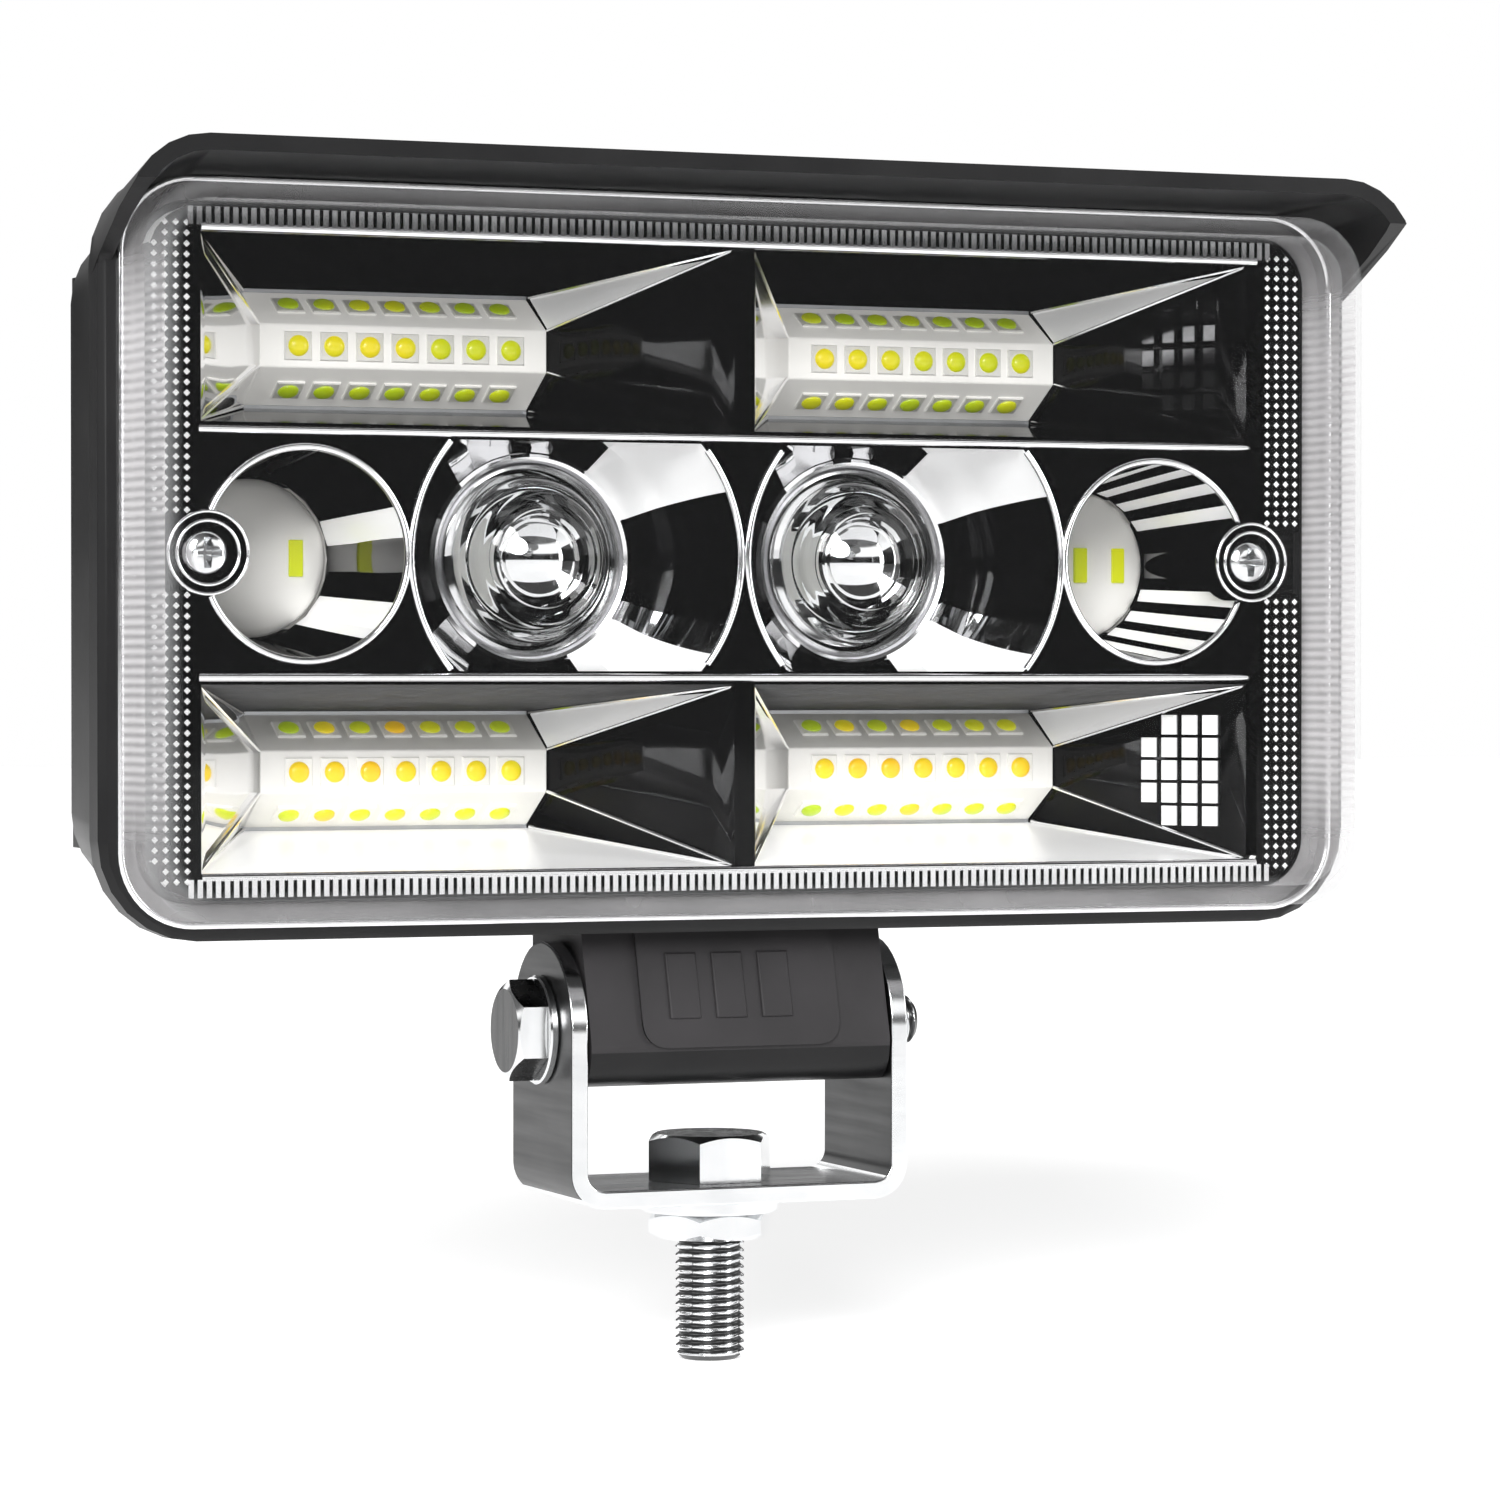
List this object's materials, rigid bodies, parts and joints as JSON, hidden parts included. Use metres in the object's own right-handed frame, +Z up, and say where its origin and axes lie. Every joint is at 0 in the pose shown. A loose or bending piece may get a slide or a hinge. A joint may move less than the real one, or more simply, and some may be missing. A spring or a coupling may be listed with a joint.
{
  "type": "fog light",
  "caption": "Rectangular LED fog light with a short visor and finned back, hinged on a U-bracket that swivels on a threaded stud.",
  "frame": {"origin": "on the stud's axis, at the underside of the U-bracket's base", "axes": "+Z up along the stud, the lamp faces -Y, +X is on the right of someone facing the lens"},
  "size_m": [0.1516, 0.07, 0.1355],
  "materials": {
    "black_casting": "satin black powder coat on cast aluminium",
    "bright_steel": "bright stainless steel",
    "chrome_reflector": "vacuum-metallised plastic",
    "clear_lens": "clear hard-coated polycarbonate",
    "clear_optic": "clear moulded acrylic",
    "white_board": "white solder mask with yellow-green emitters",
    "green_board": "green circuit board",
    "copper_winding": "enamelled copper winding",
    "black_plastic": "black sleeve",
    "black_rubber": "matt black rubber",
    "plain_aluminium": "plain extruded aluminium"
  },
  "bodies": {
    "stud": {"stud_bolt": "bright_steel", "stud_washer": "bright_steel", "stud_nut": "bright_steel"},
    "bracket": {"u_bracket": "bright_steel", "pivot_bolt": "bright_steel", "pivot_washer_left": "bright_steel", "pivot_washer_right": "bright_steel", "pivot_nut": "bright_steel"},
    "head": {"housing": "black_casting", "lens_cover": "clear_lens", "lens_seal": "black_rubber", "reflector": "chrome_reflector", "center_board": "white_board", "driver_board": "green_board", "driver_inductor": "copper_winding", "driver_capacitor": "black_plastic", "cable_gland": "black_rubber", "breather_vent": "black_rubber", "reflector_screw_left": "bright_steel", "board_screw_left": "bright_steel", "driver_screw_left": "bright_steel", "condenser_lens_left": "clear_optic", "condenser_ring_left": "chrome_reflector", "bowl_emitter_left": "white_board", "cup_emitter_left": "white_board", "led_board_bottom_left": "white_board", "bar_core_bottom_left": "plain_aluminium", "led_board_top_left": "white_board", "bar_core_top_left": "plain_aluminium", "reflector_screw_right": "bright_steel", "board_screw_right": "bright_steel", "driver_screw_right": "bright_steel", "condenser_lens_right": "clear_optic", "condenser_ring_right": "chrome_reflector", "bowl_emitter_right": "white_board", "cup_emitter_right": "white_board", "led_board_bottom_right": "white_board", "bar_core_bottom_right": "plain_aluminium", "led_board_top_right": "white_board", "bar_core_top_right": "plain_aluminium"}
  },
  "joints": [
    {"name": "swivel", "type": "hinge", "parent": "stud", "child": "bracket", "pos_m": [0, 0, 0], "axis": [0, 0, 1], "continuous": true},
    {"name": "tilt", "type": "hinge", "parent": "bracket", "child": "head", "pos_m": [0, 0, 0.0197], "axis": [1, 0, 0], "range_deg": [-40, 60]}
  ]
}
